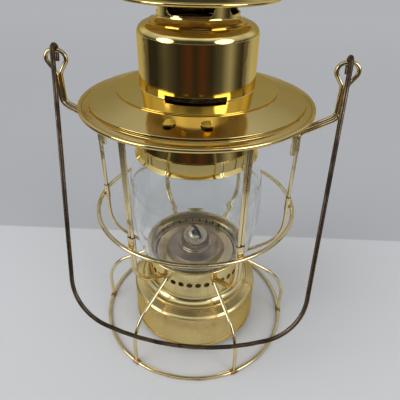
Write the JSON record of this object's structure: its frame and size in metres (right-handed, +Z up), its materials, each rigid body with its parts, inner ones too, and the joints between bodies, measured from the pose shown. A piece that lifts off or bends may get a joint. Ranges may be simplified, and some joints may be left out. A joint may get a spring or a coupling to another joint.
{
  "type": "oil lantern",
  "caption": "Brass hand lantern with a wire guard, a clear globe, a lift-off vented lid, a drop-out oil fount with burner, and a swinging wire bail.",
  "frame": {"origin": "on the table, on the lantern's axis, under the middle of the base ring", "axes": "+Z up, -Y the front that the bail rests on, +X the viewer's right, through the right-hand ear"},
  "size_m": [0.187, 0.1476, 0.2578],
  "materials": {
    "polished_brass": "polished, lightly streaked",
    "wire_brass": "bright drawn wire",
    "dull_brass": "dull, slightly brown",
    "dark_bail_wire": "dark brown patina",
    "clear_glass": "clear blown glass",
    "cotton_wick": "woven cotton"
  },
  "bodies": {
    "frame": {"base_ring": "polished_brass", "mid_ring": "wire_brass", "upright_1": "wire_brass", "upright_2": "wire_brass", "upright_3": "wire_brass", "upright_4": "wire_brass", "ear_wire_left": "wire_brass", "ear_wire_right": "wire_brass", "ring_sleeves": "polished_brass", "ear_sleeves": "polished_brass", "foot_1": "wire_brass", "foot_2": "wire_brass", "foot_3": "wire_brass", "foot_4": "wire_brass", "foot_5": "wire_brass", "foot_6": "wire_brass", "foot_ties": "dull_brass", "neck_collar": "polished_brass", "globe_seat": "dull_brass", "globe": "clear_glass", "brim": "polished_brass", "latch_plate": "dull_brass", "latch_rivets": "polished_brass"},
    "lid": {"crown": "polished_brass", "vent_collar": "polished_brass", "smoke_cap": "polished_brass", "globe_holder": "polished_brass"},
    "bail": {"bail": "dark_bail_wire"},
    "fount": {"fount_shell": "polished_brass", "fount_bottom": "polished_brass", "screw_ring": "polished_brass", "burner_body": "dull_brass", "burner_deck": "dull_brass", "burner_dome": "polished_brass", "wick_tube": "dull_brass"},
    "wick_raiser": {"wick_spindle": "dull_brass", "wick_wheels": "dull_brass", "wick_knob": "polished_brass"},
    "wick": {"wick": "cotton_wick"}
  },
  "joints": [
    {"name": "lid_lift", "type": "slide", "parent": "frame", "child": "lid", "axis": [0, 0, 1], "range_m": [0, 0.07]},
    {"name": "bail_swing", "type": "hinge", "parent": "frame", "child": "bail", "pos_m": [0, 0, 0.2088], "axis": [-1, 0, 0], "range_deg": [0, 315]},
    {"name": "fount_drop", "type": "slide", "parent": "frame", "child": "fount", "axis": [0, 0, -1], "range_m": [0, 0.07]},
    {"name": "raiser_turn", "type": "hinge", "parent": "fount", "child": "wick_raiser", "pos_m": [-0.00348, -0.00244, 0.05], "axis": [0.5736, -0.8192, 0], "range_deg": [-40, 120]},
    {"name": "wick_rise", "type": "slide", "parent": "fount", "child": "wick", "axis": [0, 0, 1], "range_m": [-0.002, 0.006]}
  ],
  "couplings": [
    {"joint": "raiser_turn", "follows": "wick_rise", "rad_per_m": 333.33}
  ]
}
